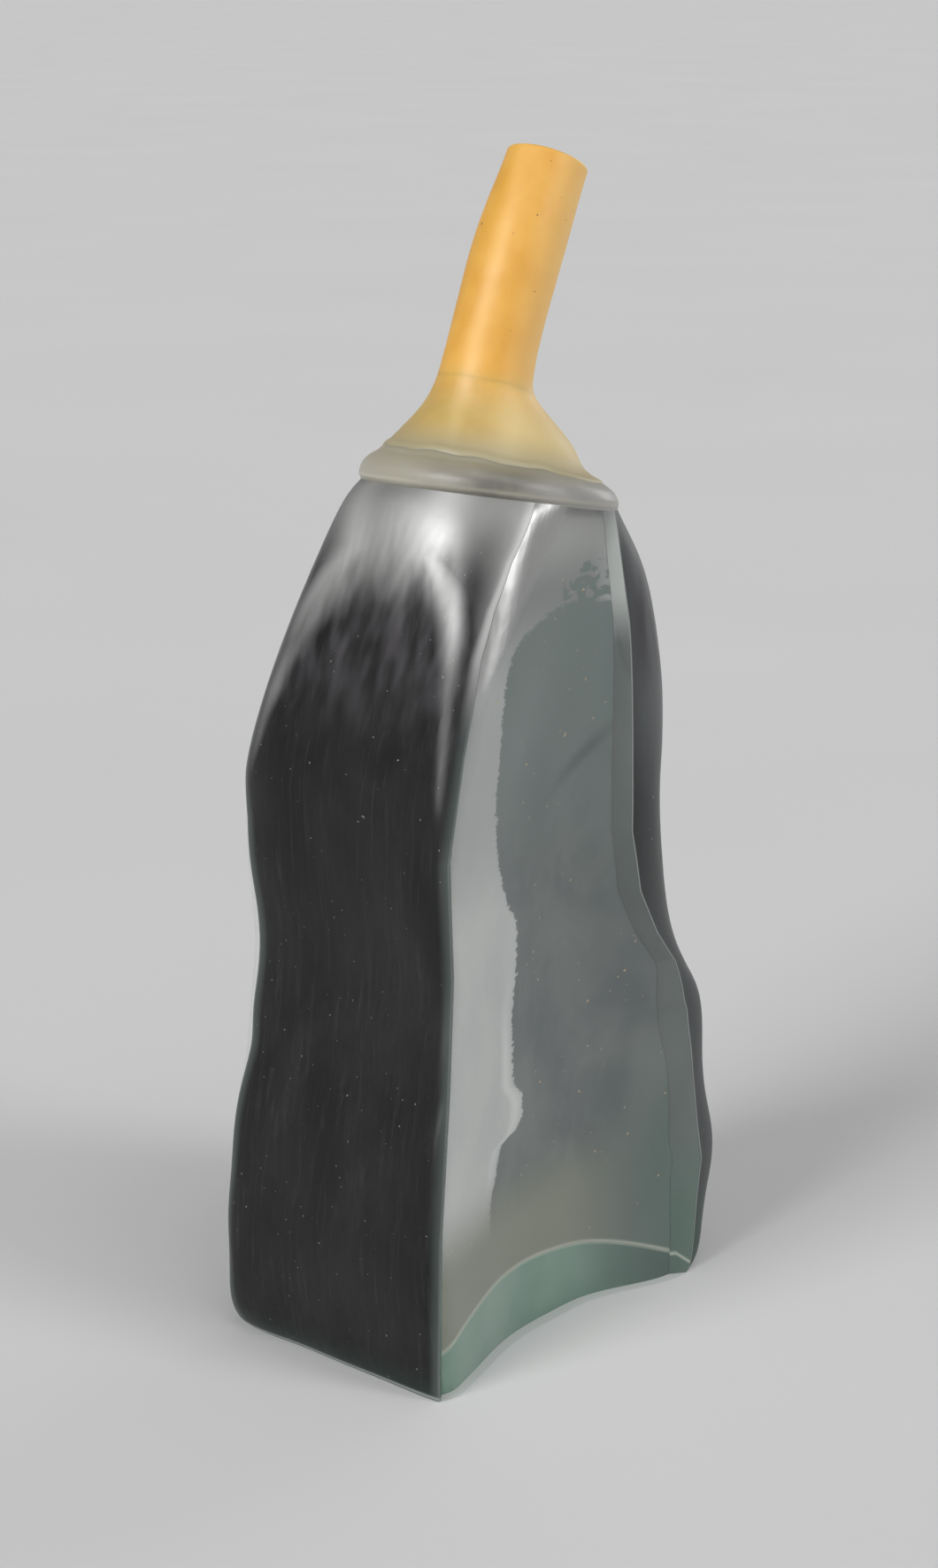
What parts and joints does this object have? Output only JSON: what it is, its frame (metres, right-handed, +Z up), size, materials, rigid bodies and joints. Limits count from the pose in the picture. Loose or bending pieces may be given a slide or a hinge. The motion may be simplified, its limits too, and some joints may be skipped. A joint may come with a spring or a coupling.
{
  "type": "bent-neck glass bottle",
  "caption": "Tall flat-sided studio-glass bottle with wavy dark satin sides, a concave polished front, a tilted collar and a bent amber neck bored through to the hollow body.",
  "frame": {"origin": "middle of the foot's flat underside, on the table", "axes": "+Z up; +X along the broad side, the way the neck leans; -Y out of the dished front"},
  "size_m": [0.1739, 0.1019, 0.4183],
  "materials": {
    "sea_green_glass": "polished, thick and clear",
    "polished_window_glass": "polished",
    "smoke_black_satin_glass": "satin, dense smoke black",
    "smoke_grey_glass": "smoky, translucent",
    "grey_beige_satin_glass": "satin, translucent",
    "straw_satin_glass": "satin, translucent",
    "amber_opal_glass": "satin opal"
  },
  "bodies": {
    "root": {"base_slab": "sea_green_glass", "front_window": "polished_window_glass", "back_window": "polished_window_glass", "left_side_casing": "smoke_black_satin_glass", "right_side_casing": "smoke_black_satin_glass", "smoke_lining": "smoke_grey_glass", "shoulder_collar": "grey_beige_satin_glass", "neck_cone": "straw_satin_glass", "neck_tube": "amber_opal_glass"}
  },
  "joints": []
}
